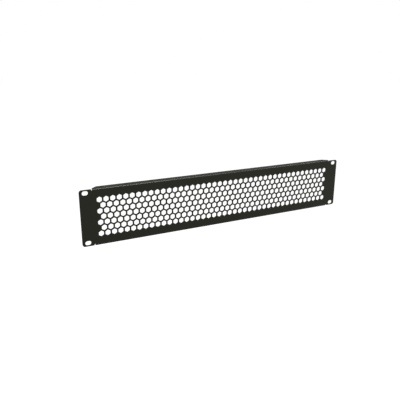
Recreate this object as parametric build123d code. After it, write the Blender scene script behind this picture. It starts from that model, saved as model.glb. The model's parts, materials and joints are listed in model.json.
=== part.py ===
from build123d import *
import os
from math import floor, radians, sqrt, tan

# A vented blanking panel for a nineteen-inch equipment rack: one steel sheet, punched while
# flat and then folded back along its top and bottom edges.
# Millimetres. The origin is the centre of the four mounting slots, on the rear face that
# seats on the rack's rails. X runs along the panel, Y into the rack and Z up.

# Rack standard
RACK_UNIT = 44.45  # height of one rack unit
UNITS = 2  # rack units that the panel covers
STACK_GAP = 0.8  # height left free between this panel and its neighbours
PANEL_WIDTH = 482.6  # over both ears
SLOT_SIDE_INSET = 8.75  # end of the panel to the nearest slot centre
SLOT_INSET = 6.35  # end of the rack unit to the nearest slot centre, up the rail

# Sheet and folds
SHEET = 1.5  # thickness of the steel
BEND_RADIUS = 1.0  # inside each fold
FLANGE_DEPTH = 11.0  # front face to the free edge of a flange
MITRE = 45.0  # degrees that each end of a flange is cut back from square

# Ears
EAR_WIDTH = 19.5  # end of the panel to the end of a fold, which clears the rack's rail
EAR_DROP = 0.8  # outer face of a flange down to the edge of an ear
EAR_CORNER = 4.0  # corner radius
SLOT_LENGTH = 9.0
SLOT_WIDTH = 6.4
RELIEF_WIDTH = 1.5  # slit between an ear and the end of a fold
RELIEF_REACH = 0.2  # fold line to the slit's root
RELIEF_CORNER = 0.4  # corner radius at the root

# Vent pattern
HOLE_FLATS = 7.8  # hexagon, flat to flat
WEB = 2.3  # metal left between two holes
VENT_SIDE_MARGIN = 4.0  # least plain metal between the holes and the end of a fold
VENT_FOLD_MARGIN = 9.5  # least plain metal between the holes and a fold line

panel_height = UNITS * RACK_UNIT - STACK_GAP
half_height = panel_height / 2
outer_radius = BEND_RADIUS + SHEET
fold_line = half_height - outer_radius  # height at which the flat front ends
relief_depth = outer_radius + RELIEF_REACH  # flange face to slit root
ear_height = panel_height - 2 * EAR_DROP
fold_length = PANEL_WIDTH - 2 * EAR_WIDTH
slot_columns = PANEL_WIDTH - 2 * SLOT_SIDE_INSET
slot_rows = UNITS * RACK_UNIT - 2 * SLOT_INSET
front_face = -SHEET
fold_end = front_face + outer_radius  # depth at which a flange starts to be flat
free_edge = front_face + FLANGE_DEPTH


def front_outline():
    """Flat front: the stretch between the folds, and an ear past each end of it."""
    between_folds = Rectangle(fold_length, 2 * fold_line)
    ears = RectangleRounded(PANEL_WIDTH, ear_height, EAR_CORNER)
    return between_folds + (ears - Rectangle(fold_length, panel_height))


def relief_slits():
    """Slits that free the ends of both folds from the ears, soft-cornered at their roots."""
    slit = RectangleRounded(RELIEF_WIDTH, 2 * relief_depth, RELIEF_CORNER)
    return GridLocations(fold_length + RELIEF_WIDTH, panel_height, 2, 2) * slit


def mounting_slots():
    """Four slots, long way across the rack, for screws into the rails."""
    return GridLocations(slot_columns, slot_rows, 2, 2) * SlotOverall(SLOT_LENGTH, SLOT_WIDTH)


def vent_centres():
    """Honeycomb rows: every second row has one hole fewer and sits half a pitch over."""
    pitch = HOLE_FLATS + WEB
    row_pitch = pitch * sqrt(3) / 2
    point_to_point = HOLE_FLATS * 2 / sqrt(3)
    room_across = fold_length - 2 * VENT_SIDE_MARGIN - HOLE_FLATS
    room_up = 2 * (fold_line - VENT_FOLD_MARGIN) - point_to_point
    longest_row = floor(room_across / pitch) + 1
    rows = floor(room_up / row_pitch) + 1
    centres = []
    for row in range(rows):
        holes = longest_row - row % 2
        height = (row - (rows - 1) / 2) * row_pitch
        centres += [Pos((hole - (holes - 1) / 2) * pitch, height) for hole in range(holes)]
    return centres


def vent_holes():
    """Hexagons that stand on a point, so that upright webs part the holes of a row."""
    hexagon = RegularPolygon(HOLE_FLATS / 2, 6, major_radius=False, rotation=30)
    return Sketch() + [centre * hexagon for centre in vent_centres()]


def top_fold():
    """Quarter turn of the sheet, from the flat front back to the flange."""
    section = Pos(fold_end, fold_line) * (Circle(outer_radius) - Circle(BEND_RADIUS))
    section &= Pos(front_face, fold_line) * Rectangle(outer_radius, outer_radius, align=Align.MIN)
    return extrude(Plane.YZ * section, fold_length / 2, both=True)


def top_flange():
    """Flat flange behind the fold, with both ends mitred towards the free edge."""
    cut_back = (free_edge - fold_end) * tan(radians(MITRE))
    shape = make_face(
        Polyline(
            (-fold_length / 2, fold_end),
            (fold_length / 2, fold_end),
            (fold_length / 2 - cut_back, free_edge),
            (cut_back - fold_length / 2, free_edge),
            close=True,
        )
    )
    return extrude(Plane.XY.offset(half_height - SHEET) * shape, SHEET)


def blanking_panel():
    """The whole sheet: punched front, two folds and two flanges as one solid."""
    punched = front_outline() - relief_slits() - mounting_slots() - vent_holes()
    front = extrude(Plane.XZ * punched, SHEET)
    upper = top_fold() + top_flange()
    lower = mirror(upper, about=Plane.XY)
    return front + [upper, lower]


os.makedirs("parts", exist_ok=True)
export_step(blanking_panel(), "parts/vented_panel.step")
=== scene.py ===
# %% [markdown]
# # A vented rack panel, punched flat and then folded
# The real panel starts as a flat blank of sheet steel. A press punches the honeycomb, the four
# slots and the outline, a brake folds the two long edges back, and the whole thing is powder
# coated black. This script follows the same order: it draws the flat blank with numpy, gives
# every cut edge its small rounding, folds the finished blank with one formula, and coats it.
#
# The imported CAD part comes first, as the frame: it says how large the panel is and where the
# slots are. Everything here is in metres.

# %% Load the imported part
import json
import bpy
import numpy as np
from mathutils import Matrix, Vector
from mathutils.geometry import delaunay_2d_cdt


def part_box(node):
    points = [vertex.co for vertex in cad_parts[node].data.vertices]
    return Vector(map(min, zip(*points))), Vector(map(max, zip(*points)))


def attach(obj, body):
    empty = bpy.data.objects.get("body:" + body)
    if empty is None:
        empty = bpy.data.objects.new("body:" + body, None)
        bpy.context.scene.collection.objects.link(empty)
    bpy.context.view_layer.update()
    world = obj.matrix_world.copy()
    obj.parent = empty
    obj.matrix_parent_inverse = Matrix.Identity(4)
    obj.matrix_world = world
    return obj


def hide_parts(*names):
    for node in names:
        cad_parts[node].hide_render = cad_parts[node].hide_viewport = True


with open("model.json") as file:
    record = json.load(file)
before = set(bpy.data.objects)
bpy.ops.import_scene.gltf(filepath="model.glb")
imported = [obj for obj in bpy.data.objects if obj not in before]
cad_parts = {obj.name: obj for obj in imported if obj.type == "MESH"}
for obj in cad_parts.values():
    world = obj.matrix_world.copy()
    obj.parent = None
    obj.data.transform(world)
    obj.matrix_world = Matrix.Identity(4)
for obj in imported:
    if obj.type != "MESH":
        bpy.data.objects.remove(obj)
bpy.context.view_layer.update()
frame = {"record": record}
low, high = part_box("vented_panel")
slot_mount = {m["name"]: m for m in frame["record"]["mounts"]}["rack_slots"]["dims"]
print("panel from", tuple(round(v, 5) for v in low), "to", tuple(round(v, 5) for v in high))

# %% [markdown]
# ## Driving sizes
# Overall sizes and the slots are read from the frame, so the new mesh can't drift from the
# part. The rest repeats the CAD part's own sizes, plus the two edge roundings, which are too
# fine for the CAD part: a punched edge is soft because the coat flows round it.

# %% Sizes
MM = 0.001
BEND_RADIUS = 1.0 * MM  # inside each fold
EAR_WIDTH = 19.5 * MM  # end of the panel to the end of a fold
EAR_DROP = 0.8 * MM  # outer face of a flange down to the edge of an ear
EAR_CORNER = 4.0 * MM
RELIEF_WIDTH = 1.5 * MM  # slit between an ear and the end of a fold
RELIEF_REACH = 0.2 * MM  # fold line to the slit's root
RELIEF_CORNER = 0.4 * MM
MITRE = np.radians(45.0)  # how far the ends of a flange are cut back from square
HOLE_FLATS = 7.8 * MM  # hexagon, flat to flat
WEB = 2.3 * MM  # metal left between two holes
LONG_ROW = 43  # holes in the first row; every second row has one fewer
ROWS = 7
CUT_EDGE = 0.25 * MM  # rounding of the outline and the slots
PUNCH_EDGE = 0.1 * MM  # rounding of the vent holes' rims
SMALL_CORNER = 0.6 * MM  # corners that the punch leaves nearly sharp
HOLE_CORNER = 0.5 * MM  # inside corners of a hexagon
END_COLUMN = 1.0 * MM  # end of a fold to the last column of points across it

width = high[0] - low[0]
half_height = (high[2] - low[2]) / 2
front_face = low[1]
free_edge = high[1]
sheet = -front_face  # the rear face is at zero
outer_radius = BEND_RADIUS + sheet
fold_end = front_face + outer_radius  # depth at which a flange starts to be flat
fold_line = half_height - outer_radius  # height at which the flat front ends
fold_x = width / 2 - EAR_WIDTH
ear_x = fold_x + RELIEF_WIDTH
ear_top = half_height - EAR_DROP
slit_root = fold_line - RELIEF_REACH
pitch = HOLE_FLATS + WEB
print("sheet", round(sheet / MM, 2), "mm thick, fold line at", round(fold_line / MM, 2), "mm")

# %% [markdown]
# ## Folding, as a formula
# A brake bends a flat sheet without moving the rest of it. So a point of the blank is given by
# three numbers: `x` along the panel, `s` up the flat blank from its middle, and `w` through the
# sheet from the front face. Up to the fold line the sheet is flat. Past it, `s` is spent on a
# quarter turn, and what is left runs straight back as the flange. The same turn carries the
# normals, so shading is exact and no smoothing has to guess it.

# %% The fold
FOLD_STEPS = 8  # rows of faces round a fold
allowance = (BEND_RADIUS + sheet / 2) * np.pi / 2  # length of blank that a fold uses up
blank_edge = fold_line + allowance + free_edge - fold_end
print("blank is", round(2 * blank_edge / MM, 1), "mm high before it is folded")


def turn_at(x, s):
    """Angle that the sheet has turned through: none on the front and the ears, a quarter on a
    flange, and in between in proportion to the length of blank past the fold line."""
    past = np.clip((np.abs(s) - fold_line) / allowance, 0.0, 1.0)
    return np.where(np.abs(x) < (fold_x + ear_x) / 2, past * np.pi / 2, 0.0)


def fold_points(x, s, w):
    """Blank coordinates to space. In a fold the point runs on a circle about the fold's axis,
    of the outer radius less w; beyond it, it runs on along the tangent."""
    turn = turn_at(x, s)
    radius = outer_radius - w
    straight = np.where(turn > 0, np.minimum(np.abs(s), fold_line), np.abs(s))
    behind = np.where(turn > 0, np.maximum(np.abs(s) - fold_line - allowance, 0.0), 0.0)
    y = fold_end - radius * np.cos(turn) + behind
    z = np.sign(s) * (straight + radius * np.sin(turn))
    return np.stack([x, y, z], axis=-1)


def fold_normals(x, s, along_x, along_s, along_w):
    """The same turn for directions: s turns from up to backwards, w from backwards to inwards."""
    turn = turn_at(x, s)
    side = np.sign(s)
    y = along_s * side * np.sin(turn) + along_w * np.cos(turn)
    z = along_s * np.cos(turn) - along_w * side * np.sin(turn)
    return np.stack([along_x, y, z], axis=-1)


# %% [markdown]
# ## Outlines with rounded corners
# Every cut in the blank is a closed line: one outline, four slots and the honeycomb. Each is
# drawn with the metal on its left, so that the direction to its right always points out of the
# metal. A corner becomes an arc that starts and ends along its two sides, which means that the
# line can later be moved into the metal by any small distance and stay exactly parallel.

# %% Rounded corners
SAME_POINT = 0.001 * MM  # two points nearer than this are one


def rounded(chain, radii, steps):
    """Arcs for the inner points of a chain. For a corner with turning angle t, the arc starts
    r tan(t/2) before the corner, and its outward normal turns from one side's to the next's.
    Returns points and outward normals."""
    chain = np.asarray(chain, dtype=float)
    sides = np.diff(chain, axis=0)
    sides /= np.linalg.norm(sides, axis=1, keepdims=True)
    before, after = sides[:-1], sides[1:]
    cross = before[:, 0] * after[:, 1] - before[:, 1] * after[:, 0]
    turn = np.arctan2(cross, (before * after).sum(axis=1))
    radii = np.broadcast_to(radii, turn.shape)
    first_normal = np.stack([before[:, 1], -before[:, 0]], axis=1)
    start = chain[1:-1] - before * (radii * np.tan(np.abs(turn) / 2))[:, None]
    signed = (radii * np.sign(turn))[:, None]
    centre = start - first_normal * signed
    angle = turn[:, None] * np.linspace(0.0, 1.0, steps + 1)
    cos, sin = np.cos(angle), np.sin(angle)
    nx = first_normal[:, :1] * cos - first_normal[:, 1:] * sin
    ny = first_normal[:, :1] * sin + first_normal[:, 1:] * cos
    normals = np.stack([nx, ny], axis=-1)
    points = centre[:, None] + signed[:, None] * normals
    return points, normals


def without_repeats(points, normals):
    """Drops a point that lies on the one before it, as where two arcs meet."""
    gap = np.linalg.norm(points - np.roll(points, 1, axis=0), axis=1)
    keep = gap > SAME_POINT
    return points[keep], normals[keep]


# %% [markdown]
# ## The blank's outline
# The panel is the same left to right and top to bottom, so one quarter is drawn and mirrored.
# Going up from the right-hand end it has six corners: the ear's two, the two at the root of the
# relief slit, and the two of the mitred flange. Rows of points are added where the fold needs
# them, because a straight edge with no points between its ends can't bend. The mitre's first
# corner is set a little further out than in the part, by the length that its rounding uses up,
# so that the whole rounding lies on the flat flange and none of it on the bend.

# %% Outline
CORNER_STEPS = 6  # sides of an arc at an outline corner
fold_levels = fold_line + allowance * np.linspace(0.0, 1.0, FOLD_STEPS + 1)
columns = np.arange(1, int(fold_x / pitch)) * pitch
mitre_x = fold_x - (free_edge - fold_end) * np.tan(MITRE)
rounding_run = SMALL_CORNER * np.tan(MITRE / 2)
quarter_corners = [
    (width / 2, 0.0),
    (width / 2, ear_top),
    (ear_x, ear_top),
    (ear_x, slit_root),
    (fold_x, slit_root),
    (fold_x, fold_levels[-1] + rounding_run),
    (mitre_x, blank_edge),
    (0.0, blank_edge),
]
quarter_radii = [EAR_CORNER, SMALL_CORNER, RELIEF_CORNER, RELIEF_CORNER]
quarter_radii += [SMALL_CORNER, SMALL_CORNER]
arcs, arc_normals = rounded(quarter_corners, quarter_radii, CORNER_STEPS)


def straight_points(xs, ys, normal):
    """Points on a straight side, all with the side's outward normal."""
    xs, ys = np.broadcast_arrays(xs, ys)
    points = np.stack([xs, ys], axis=-1)
    return points, np.broadcast_to(np.array(normal, dtype=float), points.shape)


past_root = fold_levels[:-1][fold_levels[:-1] > slit_root + RELIEF_CORNER]
up_the_fold, up_normals = straight_points(fold_x, past_root, (1.0, 0.0))
along_edge = columns[columns < mitre_x - SMALL_CORNER * 2]  # clear of the mitre's corner
back_edge, back_normals = straight_points(along_edge[::-1], blank_edge, (0.0, 1.0))
quarter = np.concatenate(
    [arcs[:4].reshape(-1, 2), up_the_fold, arcs[4:].reshape(-1, 2), back_edge]
)
quarter_normals = np.concatenate(
    [arc_normals[:4].reshape(-1, 2), up_normals, arc_normals[4:].reshape(-1, 2), back_normals]
)


def mirrored_round(values):
    """A quarter's points or normals, repeated for the four quarters in travelling order."""
    flips = [(1, 1), (-1, 1), (-1, -1), (1, -1)]
    parts = [values * np.array(flip) for flip in flips]
    return np.concatenate([part[:: 1 - 2 * (i % 2)] for i, part in enumerate(parts)])


outline, outline_normals = without_repeats(mirrored_round(quarter), mirrored_round(quarter_normals))
print("outline has", len(outline), "points")

# %% [markdown]
# ## Slots and honeycomb
# A slot is a rectangle whose corner radius is half its width. A vent hole is a hexagon standing
# on a point. Both are drawn clockwise, to keep the metal on the left. The honeycomb's rows are
# set apart by the pitch times the height of an equilateral triangle, and every second row
# starts half a pitch in: the whole field is one hexagon added to an array of centres.

# %% Holes
SLOT_STEPS = 9  # sides of a quarter of a slot's round end
SLOT_ROUND = 0.999  # share of half the width, so that the two arcs of an end don't quite meet
HOLE_STEPS = 2  # sides of an arc at a hexagon's corner


def hole_loop(corners, radius, steps):
    """A closed hole with rounded corners, from its corners in clockwise order."""
    chain = np.concatenate([corners[-1:], corners, corners[:1]])
    points, normals = rounded(chain, radius, steps)
    return without_repeats(points.reshape(-1, 2), normals.reshape(-1, 2))


slot_half = np.array([slot_mount["slot_length_mm"] / 2, slot_mount["hole_r_mm"]]) * MM
slot_corners = slot_half * np.array([(1, 1), (1, -1), (-1, -1), (-1, 1)])
slot_points, slot_normals = hole_loop(slot_corners, slot_half[1] * SLOT_ROUND, SLOT_STEPS)
slot_spacing = np.array([slot_mount["spacing_x_mm"], slot_mount["spacing_y_mm"]]) * MM
slot_centres = slot_spacing / 2 * np.array([(1, 1), (-1, 1), (-1, -1), (1, -1)])

corner_angles = np.radians(90.0 - 60.0 * np.arange(6))
to_point = HOLE_FLATS / np.sqrt(3)
hexagon = to_point * np.stack([np.cos(corner_angles), np.sin(corner_angles)], axis=1)
vent_points, vent_normals = hole_loop(hexagon, HOLE_CORNER, HOLE_STEPS)

row, in_row = np.meshgrid(np.arange(ROWS), np.arange(LONG_ROW), indexing="ij")
holes_in_row = LONG_ROW - row % 2
vent_centres = np.stack(
    [
        (in_row - (holes_in_row - 1) / 2) * pitch,
        (row - (ROWS - 1) / 2) * pitch * np.sqrt(3) / 2,
    ],
    axis=-1,
)[in_row < holes_in_row]
print(len(vent_centres), "vent holes and", len(slot_centres), "slots")

# %% [markdown]
# ## Rounded rims, carried along every cut
# A rim's section is a short profile: a quarter round from the front face into the cut, the
# plain wall, and a quarter round out to the rear face. Each profile row says how far it lies
# inside the metal, how deep in the sheet, and which way it faces. Carried along a line it makes
# a closed band. Thousands of hole points share one array operation, and the hexagons get the
# shortest profile, because there are so many of them.

# %% Rims
CUT_STEPS = 3  # sides of the quarter round on the outline and the slots
PUNCH_STEPS = 1  # and on the vent holes


def rim_profile(radius, steps):
    """Rows of (distance into the metal, depth in the sheet, outward part of the normal, rearward
    part of the normal) for a wall with a quarter round of the given radius at each face."""
    angle = np.linspace(0.0, np.pi / 2, steps + 1)
    into, depth = radius * (1 - np.sin(angle)), radius * (1 - np.cos(angle))
    front = np.stack([into, depth, np.sin(angle), -np.cos(angle)], axis=1)
    rear = front[::-1] * (1, -1, 1, -1) + (0, sheet, 0, 0)
    return np.concatenate([front, rear])


def rims(points, normals, centres, profile):
    """Carries a profile along the same closed line at every centre. Row r of hole h is the line
    moved into the metal by the row's distance, at the row's depth.
    Returns blank points (x, s, w), blank normals and quads, with all bands in one list, and
    the points' numbers by hole, row and place along the line."""
    into, depth, outward, rearward = profile.T
    shape = (len(centres), len(profile), len(points))
    flat = centres[:, None, None] + points - normals * into[:, None, None]
    flat_normal = np.broadcast_to(normals * outward[:, None, None], shape + (2,))
    w = np.broadcast_to(depth[:, None], shape)
    nw = np.broadcast_to(rearward[:, None], shape)
    ids = np.arange(np.prod(shape)).reshape(shape)
    here, beside = ids, np.roll(ids, -1, axis=2)
    quads = np.stack([here[:, :-1], here[:, 1:], beside[:, 1:], beside[:, :-1]], axis=-1)
    blank = np.concatenate([flat, w[..., None]], axis=-1).reshape(-1, 3)
    facing = np.concatenate([flat_normal, nw[..., None]], axis=-1).reshape(-1, 3)
    return blank, facing, quads.reshape(-1, 4), ids


kinds = [
    (outline, outline_normals, np.zeros((1, 2)), rim_profile(CUT_EDGE, CUT_STEPS)),
    (slot_points, slot_normals, slot_centres, rim_profile(CUT_EDGE, CUT_STEPS)),
    (vent_points, vent_normals, vent_centres, rim_profile(PUNCH_EDGE, PUNCH_STEPS)),
]
blank_parts, facing_parts, quad_parts, front_loops, rear_loops = [], [], [], [], []
count = 0
for kind in kinds:
    blank, facing, quads, ids = rims(*kind)
    blank_parts.append(blank)
    facing_parts.append(facing)
    quad_parts.append(quads + count)
    front_loops += list(ids[:, 0] + count)
    rear_loops += list(ids[:, -1] + count)
    count += len(blank)
print(count, "points on", len(front_loops), "rims")

# %% [markdown]
# ## Filling the two faces
# What is left is the flat metal between the rims. A triangulation fills it: it gets the rims'
# outermost lines as edges that it must keep, and rows of points across each fold, so that the
# strips between them bend smoothly. The fill also covers the holes, so any triangle with all
# three corners on one hole is dropped. The same triangles serve the front and the rear face.

# %% Faces
SAME_ROW = 0.05 * MM  # a rim point this near to a fold row's end is joined to it
INSIDE_THE_LINES = 1  # the kind of fill that leaves out what lies round the outline
MERGE_BELOW = 1e-9  # metres; no two points are so near, so none are merged
fold_rows = np.concatenate([fold_levels, -fold_levels])
half_row = np.append(columns, fold_x - END_COLUMN)
across = np.concatenate([-half_row[::-1], [0.0], half_row])
grid_x, grid_s = np.meshgrid(across, fold_rows)
chain_ids = np.arange(grid_x.size).reshape(grid_x.shape)

loop_sizes = np.array([len(loop) for loop in front_loops])
loop_starts = np.cumsum(loop_sizes) - loop_sizes
loop_of_point = np.repeat(np.arange(len(loop_sizes)), loop_sizes)
rim_count = loop_sizes.sum()
all_blank = np.concatenate(blank_parts)
front_ids = np.concatenate(front_loops)
fill_points = np.concatenate(
    [all_blank[front_ids, :2], np.stack([grid_x, grid_s], axis=-1).reshape(-1, 2)]
)
this = np.arange(rim_count)
following = np.where(
    this + 1 == (loop_starts + loop_sizes)[loop_of_point], loop_starts[loop_of_point], this + 1
)
rim_edges = np.stack([this, following], axis=1)
chain_edges = np.stack([chain_ids[:, :-1], chain_ids[:, 1:]], axis=-1).reshape(-1, 2) + rim_count

inner_x = fold_x - CUT_EDGE


def end_links(side):
    """Edges from each fold row's last grid point to the outline's point on the same row."""
    column = chain_ids[:, -1 if side > 0 else 0] + rim_count
    target = np.stack([np.full(len(fold_rows), side * inner_x), fold_rows], axis=1)
    gap = np.linalg.norm(fill_points[None, :rim_count] - target[:, None], axis=2)
    nearest = gap.argmin(axis=1)
    return np.stack([nearest, column], axis=1)[gap.min(axis=1) < SAME_ROW]


edges = np.concatenate([rim_edges, chain_edges, end_links(1), end_links(-1)])
filled = delaunay_2d_cdt(
    fill_points.tolist(), edges.tolist(), [], INSIDE_THE_LINES, MERGE_BELOW
)
triangles = np.array(filled[2])
print("fill has", len(filled[0]), "points from", len(fill_points))
print("fill has", len(triangles), "triangles, with those over the holes")

# Loop 0 is the outline, the holes follow, and -1 stands for the grid.
loop_of_point = np.concatenate([loop_of_point, np.full(grid_x.size, -1)])
corner_loops = loop_of_point[triangles]
in_hole = (corner_loops[:, 0] > 0) & (corner_loops == corner_loops[:, :1]).all(axis=1)
triangles = triangles[~in_hole]
print(len(triangles), "triangles are metal")

# %% [markdown]
# ## One closed shell
# The pieces are put together as arrays: rims, the two filled faces, and the extra grid points on
# each face. Then the whole blank goes through the fold. The volume of a closed shell is the sum
# of its triangles' signed pyramids, so it shows at once whether a face points the wrong way, and
# it should come out close to the volume of the solid that the frame holds.

# %% Shell
grid_flat = np.stack([grid_x, grid_s], axis=-1).reshape(-1, 2)
zeros = np.zeros((len(grid_flat), 1))
front_grid = np.hstack([grid_flat, zeros])
rear_grid = np.hstack([grid_flat, zeros + sheet])
to_front = np.tile((0.0, 0.0, -1.0), (len(grid_flat), 1))
all_blank = np.concatenate([all_blank, front_grid, rear_grid])
all_facing = np.concatenate(facing_parts + [to_front, -to_front])
front_ids = np.concatenate([front_ids, count + np.arange(len(grid_flat))])
rear_ids = np.concatenate(rear_loops + [count + len(grid_flat) + np.arange(len(grid_flat))])
faces = [front_ids[triangles], rear_ids[triangles][:, ::-1], np.concatenate(quad_parts)]

x, s, w = all_blank.T
vertices = fold_points(x, s, w)
normals = fold_normals(x, s, *all_facing.T)


def shell_volume(vertices, faces):
    """Sum over all triangles of a . (b x c) / 6; a quad counts as two triangles."""
    halves = [f[:, :3] for f in faces] + [f[:, [0, 2, 3]] for f in faces if f.shape[1] == 4]
    a, b, c = vertices[np.concatenate(halves)].transpose(1, 0, 2)
    return np.einsum("ij,ij->i", a, np.cross(b, c)).sum() / 6


volume = shell_volume(vertices, faces)
print("volume of the shell", round(volume / MM**3), "cubic mm")

# %% [markdown]
# ## From arrays to a piece
# The faces go into the mesh with from_pydata, and the exact normals are handed over as custom
# normals, which keep the flat faces flat and the roundings round. One more number is stored at
# each point: `rim` is 0 on the sheet's two faces and 1 on a cut wall, so halfway between the two
# it marks the rounding itself, where a coat is thinnest and where the coat gets a painted glint.


# %% Piece
def new_piece(name, vertices, faces, normals):
    """A mesh object at the origin, with its place in its mesh and normals given by point."""
    mesh = bpy.data.meshes.new(name)
    mesh.from_pydata(vertices.tolist(), [], [face for part in faces for face in part.tolist()])
    mesh.shade_smooth()
    mesh.normals_split_custom_set_from_vertices(normals.tolist())
    piece = bpy.data.objects.new(name, mesh)
    bpy.context.scene.collection.objects.link(piece)
    return piece


sheet_piece = new_piece("punched_sheet", vertices, faces, normals)
on_rim = np.hypot(all_facing[:, 0], all_facing[:, 1])
sheet_piece.data.attributes.new("rim", "FLOAT", "POINT").data.foreach_set("value", on_rim)
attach(sheet_piece, "root")
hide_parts("vented_panel")
print("sheet has", len(sheet_piece.data.polygons), "faces")

# %% [markdown]
# ## Black powder coat
# Powder coat is a plastic skin, melted on from dust. It is nearly black, not quite neutral, and
# satin: the powder doesn't flow out flat, so it keeps a fine orange peel about a millimetre
# across. Seen along the surface, the hills of that peel hide the shiny hollows behind them, so the
# coat looks duller there. The gloss comes first: a slow noise for how evenly the coat melted, and
# a Layer Weight node that adds to the roughness at a glancing angle, which keeps the flange from
# shining like a plain smooth plastic.

# %% Gloss of the coat
SPECULAR_LEVEL = 0.17  # a third of a clear varnish's
MELT_SCALE = 45.0  # patches of about two centimetres
MELT_NOISE = (0.3, 0.7)  # where nearly all of the noise lies
MELT_ROUGHNESS = (0.27, 0.33)
GLANCE_RANGE = (0.35, 0.75)  # 0 is straight on, and 1 along the surface
GLANCE_ROUGHNESS = 0.4  # what a glancing angle adds


def node(tree, kind, **settings):
    """Adds a shader node and sets its properties by name."""
    made = tree.nodes.new(kind)
    for key, value in settings.items():
        setattr(made, key, value)
    return made


def fill_sockets(made, **values):
    """Sets plain input values; an underscore in a name stands for a space."""
    for key, value in values.items():
        made.inputs[key.replace("_", " ")].default_value = value
    return made


coat = bpy.data.materials.new("black_powder_coat")
coat.use_nodes = True
tree = coat.node_tree
shader = tree.nodes["Principled BSDF"]
shader.inputs["Specular IOR Level"].default_value = SPECULAR_LEVEL
coordinates = node(tree, "ShaderNodeTexCoord")

melt = fill_sockets(node(tree, "ShaderNodeTexNoise"), Scale=MELT_SCALE, Detail=3.0, Roughness=0.55)
melt_range = node(tree, "ShaderNodeMapRange")
fill_sockets(melt_range, From_Min=MELT_NOISE[0], From_Max=MELT_NOISE[1])
fill_sockets(melt_range, To_Min=MELT_ROUGHNESS[0], To_Max=MELT_ROUGHNESS[1])
tree.links.new(coordinates.outputs["Object"], melt.inputs["Vector"])
tree.links.new(melt.outputs["Fac"], melt_range.inputs["Value"])

glance = fill_sockets(node(tree, "ShaderNodeLayerWeight"), Blend=0.5)
glance_range = node(tree, "ShaderNodeMapRange")
fill_sockets(glance_range, From_Min=GLANCE_RANGE[0], From_Max=GLANCE_RANGE[1])
fill_sockets(glance_range, To_Min=0.0, To_Max=GLANCE_ROUGHNESS)
duller = node(tree, "ShaderNodeMath", operation="ADD", use_clamp=True)
tree.links.new(glance.outputs["Facing"], glance_range.inputs["Value"])
tree.links.new(melt_range.outputs["Result"], duller.inputs[0])
tree.links.new(glance_range.outputs["Result"], duller.inputs[1])
tree.links.new(duller.outputs["Value"], shader.inputs["Roughness"])
print("roughness", MELT_ROUGHNESS, "seen straight on, and up to", GLANCE_ROUGHNESS, "more")

# %% [markdown]
# ## Orange peel
# The peel itself is only some thousandths of a millimetre high. Modelled as geometry it would
# take millions of faces, so it is a fine noise that tilts the shading through a Bump node. Object
# coordinates are metres here, so the scale says how many waves go into a metre.

# %% Orange peel
PEEL_SCALE = 1100.0  # waves of about 0.9 mm
PEEL_HEIGHT = 0.012 * MM

peel = fill_sockets(node(tree, "ShaderNodeTexNoise"), Scale=PEEL_SCALE, Detail=2.0, Roughness=0.5)
bump = fill_sockets(node(tree, "ShaderNodeBump"), Strength=1.0, Distance=PEEL_HEIGHT)
tree.links.new(coordinates.outputs["Object"], peel.inputs["Vector"])
tree.links.new(peel.outputs["Fac"], bump.inputs["Height"])
tree.links.new(bump.outputs["Normal"], shader.inputs["Normal"])
print("peel in waves of", round(1 / PEEL_SCALE / MM, 1), "mm")

# %% [markdown]
# ## Thin coat and painted glint on the rims
# Melting powder draws back from a sharp edge, so round each punched rim the coat is thin and a
# touch lighter. The lighter black there also stands in for the light that the rounding catches, so
# it is partly a painted glint. The mesh carries the number `rim`, which is 0 on the faces, 1 on the
# walls and in between on the rounding. Rim times one less rim is largest on the rounding and
# nothing on both sides of it, which is just the mask that mixes the two blacks.

# %% Thin coat and painted glint on the rims
BLACK = (0.006, 0.006, 0.0032, 1.0)  # not quite neutral
# painted glint: this lighter black stands partly for the thin coat on a rim and partly for light
# caught on its rounding
RIM_THIN_COAT_AND_GLINT_BLACK = (0.011, 0.011, 0.008, 1.0)
RIM_THIN_COAT_AND_GLINT_GAIN = 3.0  # the product is a quarter at most, so the lighter rim black, thin coat and painted glint, takes up three quarters

rim = node(tree, "ShaderNodeAttribute", attribute_name="rim")
rim_turn = fill_sockets(node(tree, "ShaderNodeMath", operation="SUBTRACT"))
rim_turn.inputs[0].default_value = 1.0
rim_peak = node(tree, "ShaderNodeMath", operation="MULTIPLY")
# painted glint: the mask that lays the lighter black on each rim's rounding, for a thin coat and
# for light caught there
rim_thin_coat_and_glint = node(tree, "ShaderNodeMath", operation="MULTIPLY", use_clamp=True)
rim_thin_coat_and_glint.inputs[1].default_value = RIM_THIN_COAT_AND_GLINT_GAIN
tree.links.new(rim.outputs["Fac"], rim_turn.inputs[1])
tree.links.new(rim.outputs["Fac"], rim_peak.inputs[0])
tree.links.new(rim_turn.outputs["Value"], rim_peak.inputs[1])
tree.links.new(rim_peak.outputs["Value"], rim_thin_coat_and_glint.inputs[0])
# mixes in the rims' lighter black, which is a thin coat and a painted glint
tint = node(tree, "ShaderNodeMix", data_type="RGBA")
tint.inputs["A"].default_value = BLACK
tint.inputs["B"].default_value = RIM_THIN_COAT_AND_GLINT_BLACK
tree.links.new(rim_thin_coat_and_glint.outputs["Value"], tint.inputs["Factor"])
tree.links.new(tint.outputs["Result"], shader.inputs["Base Color"])
sheet_piece.data.materials.append(coat)
print("coat has", len(tree.nodes), "nodes")

# %% [markdown]
# ## Studio
# The photograph is a catalogue picture: the panel hangs clear on pure white. So the floor lies
# well below, wide and pale, and both the floor and the world are lifted to white only for rays
# that come from the camera or from a reflection. What they throw on the panel itself stays the
# faint, plain light of a pale room. The floor's lift and its share of the world's light add up to
# white, so it can't be told from the world behind it.

# %% Floor and world
FLOOR_LEVEL = -0.8
FLOOR_SIZE = 60.0
FLOOR_GREY = 0.6
FLOOR_LIFT = 0.87
WORLD_LEVEL = 0.22
WHITE = (1.0, 1.0, 1.0, 1.0)


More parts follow.
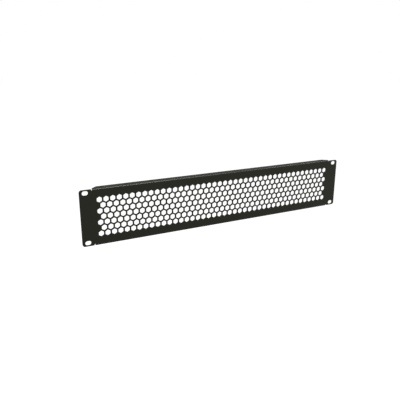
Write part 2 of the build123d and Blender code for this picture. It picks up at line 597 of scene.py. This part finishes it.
def seen_directly(tree):
    """1 for a ray from the camera, a reflection or a transmission, and 0 for plain light."""
    path = node(tree, "ShaderNodeLightPath")
    either = node(tree, "ShaderNodeMath", operation="MAXIMUM")
    any_of = node(tree, "ShaderNodeMath", operation="MAXIMUM")
    tree.links.new(path.outputs["Is Camera Ray"], either.inputs[0])
    tree.links.new(path.outputs["Is Glossy Ray"], either.inputs[1])
    tree.links.new(either.outputs["Value"], any_of.inputs[0])
    tree.links.new(path.outputs["Is Transmission Ray"], any_of.inputs[1])
    return any_of.outputs["Value"]


world = bpy.data.worlds.new("white_studio")
bpy.context.scene.world = world
world.use_nodes = True
sky = world.node_tree
background = sky.nodes["Background"]
background.inputs["Color"].default_value = WHITE
level = fill_sockets(node(sky, "ShaderNodeMapRange"), To_Min=WORLD_LEVEL, To_Max=1.0)
sky.links.new(seen_directly(sky), level.inputs["Value"])
sky.links.new(level.outputs["Result"], background.inputs["Strength"])

half = FLOOR_SIZE / 2
floor_corners = np.array([(-half, -half), (half, -half), (half, half), (-half, half)])
floor_points = np.hstack([floor_corners, np.full((4, 1), FLOOR_LEVEL)])
floor_up = np.tile((0.0, 0.0, 1.0), (4, 1))
floor = new_piece("studio_floor", floor_points, [np.array([(0, 1, 2, 3)])], floor_up)
pale = bpy.data.materials.new("pale_floor")
pale.use_nodes = True
ground = pale.node_tree
matt = ground.nodes["Principled BSDF"]
matt.inputs["Base Color"].default_value = (FLOOR_GREY, FLOOR_GREY, FLOOR_GREY, 1.0)
matt.inputs["Roughness"].default_value = 1.0
matt.inputs["Specular IOR Level"].default_value = 0.0
matt.inputs["Emission Color"].default_value = WHITE
lift = fill_sockets(node(ground, "ShaderNodeMapRange"), To_Min=0.0, To_Max=FLOOR_LIFT)
ground.links.new(seen_directly(ground), lift.inputs["Value"])
ground.links.new(lift.outputs["Result"], matt.inputs["Emission Strength"])
floor.data.materials.append(pale)
print("floor away from the lamps", round(FLOOR_LIFT + FLOOR_GREY * WORLD_LEVEL, 2), "of white")

# %% [markdown]
# ## Lamps
# The main light is a soft box in front, a little to the right and as high as it is far. A fold is
# a mirror curved one way, so it shows the lamp as a line along the edge: the lamp's height settles
# how far up the fold that line lies, and its width how far along it runs. From the camera the line
# would fade out before the far end of the panel, so a smaller and weaker soft box further to the
# right carries it on. Both hang upright: a lamp that leans towards the panel also lights the floor
# in front of it, and the coat's gloss would show that bright patch.

# %% Lamps
SOFT_WHITE = (1.0, 0.985, 0.945)  # a touch warm, as the line of light in the photograph is


def soft_box(name, place, width, height, watts):
    """An upright rectangular lamp, turned towards the panel."""
    light = bpy.data.lights.new(name, "AREA")
    light.shape = "RECTANGLE"
    light.size = width
    light.size_y = height
    light.energy = watts
    light.color = SOFT_WHITE
    lamp = bpy.data.objects.new(name, light)
    lamp.location = place
    away = Vector((place[0], place[1], 0.0))
    lamp.rotation_euler = away.to_track_quat("Z", "Y").to_euler()
    bpy.context.scene.collection.objects.link(lamp)
    print(name, round(Vector(place).length, 2), "m from the panel")


# Place, width and height in metres, and the power in watts
soft_box("main_light", (0.24, -1.0, 1.06), 0.8, 0.31, 53.5)
soft_box("side_light", (1.2, -0.72, 1.2), 0.6, 0.32, 17.0)

# %% [markdown]
# ## Camera
# The view was found by matching the honeycomb: its holes make a regular grid of known pitch, so
# where they fall in the picture settles the direction, the distance and the lens.

# %% Camera
VIEW_AZIMUTH = np.radians(-27.297)  # to the left of straight on
VIEW_ELEVATION = np.radians(16.414)
CAMERA_PLACE = (-0.38123, -0.64875, 0.21800)
PICTURE_WIDTH = 400  # pixels
FOCAL_LENGTH = 466.9  # pixels
SENSOR_WIDTH = 36.0  # mm
FARTHEST_SEEN = 200.0  # metres, past the floor's far end

camera_data = bpy.data.cameras.new("camera")
camera_data.sensor_width = SENSOR_WIDTH
camera_data.lens = FOCAL_LENGTH / PICTURE_WIDTH * SENSOR_WIDTH
camera_data.clip_end = FARTHEST_SEEN
camera = bpy.data.objects.new("camera", camera_data)
camera.location = CAMERA_PLACE
level_part = np.cos(VIEW_ELEVATION)
backwards = Vector(
    (np.sin(VIEW_AZIMUTH) * level_part, -np.cos(VIEW_AZIMUTH) * level_part, np.sin(VIEW_ELEVATION))
)
camera.rotation_euler = (-backwards).to_track_quat("-Z", "Y").to_euler()
bpy.context.scene.collection.objects.link(camera)
bpy.context.scene.camera = camera
bpy.context.scene.view_settings.view_transform = "Standard"
print("camera", round(Vector(CAMERA_PLACE).length, 2), "m from the panel")

# %% [markdown]
# ## Last update
# The dressed panel has to be as large as the imported part. Here the view layer is brought up to
# date.

# %% Last update
bpy.context.view_layer.update()
